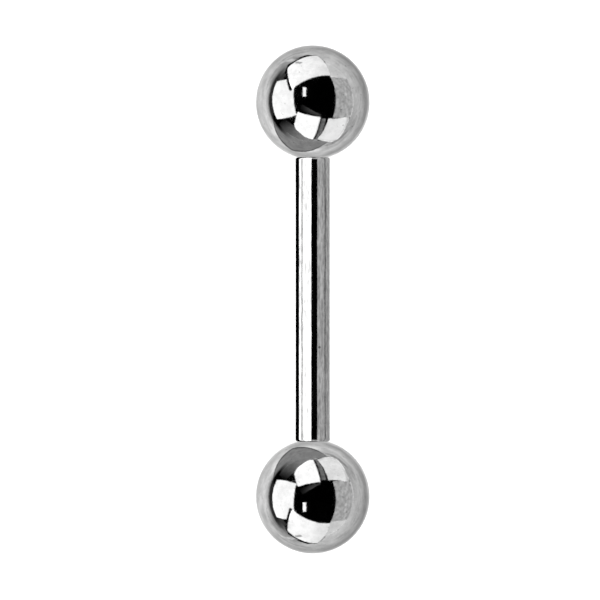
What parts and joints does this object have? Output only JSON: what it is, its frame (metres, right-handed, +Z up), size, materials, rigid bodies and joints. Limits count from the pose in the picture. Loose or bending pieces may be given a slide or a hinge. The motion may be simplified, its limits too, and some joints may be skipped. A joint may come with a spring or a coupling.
{
  "type": "straight barbell",
  "caption": "Straight barbell for a body piercing: a round steel bar with a polished screw-in ball at each end.",
  "frame": {"origin": "on the surface that both balls stand on, under the middle of the bar", "axes": "+Y runs along the bar, from the front ball to the back ball, which is the upper one in the picture; +Z is up from the surface that the barbell lies on"},
  "size_m": [0.004, 0.0178, 0.004],
  "materials": {
    "bar_steel": "polished along its length, with fine drawn lines",
    "ball_steel": "mirror polished, with faint handling marks"
  },
  "bodies": {
    "bar": {"bar": "bar_steel"},
    "ball_front": {"ball_front": "ball_steel"},
    "ball_back": {"ball_back": "ball_steel"}
  },
  "joints": [
    {"name": "ball_front_unscrews", "type": "slide", "parent": "bar", "child": "ball_front", "axis": [0, -1, 0], "range_m": [0, 0.012]},
    {"name": "ball_back_unscrews", "type": "slide", "parent": "bar", "child": "ball_back", "axis": [0, 1, 0], "range_m": [0, 0.012]}
  ]
}
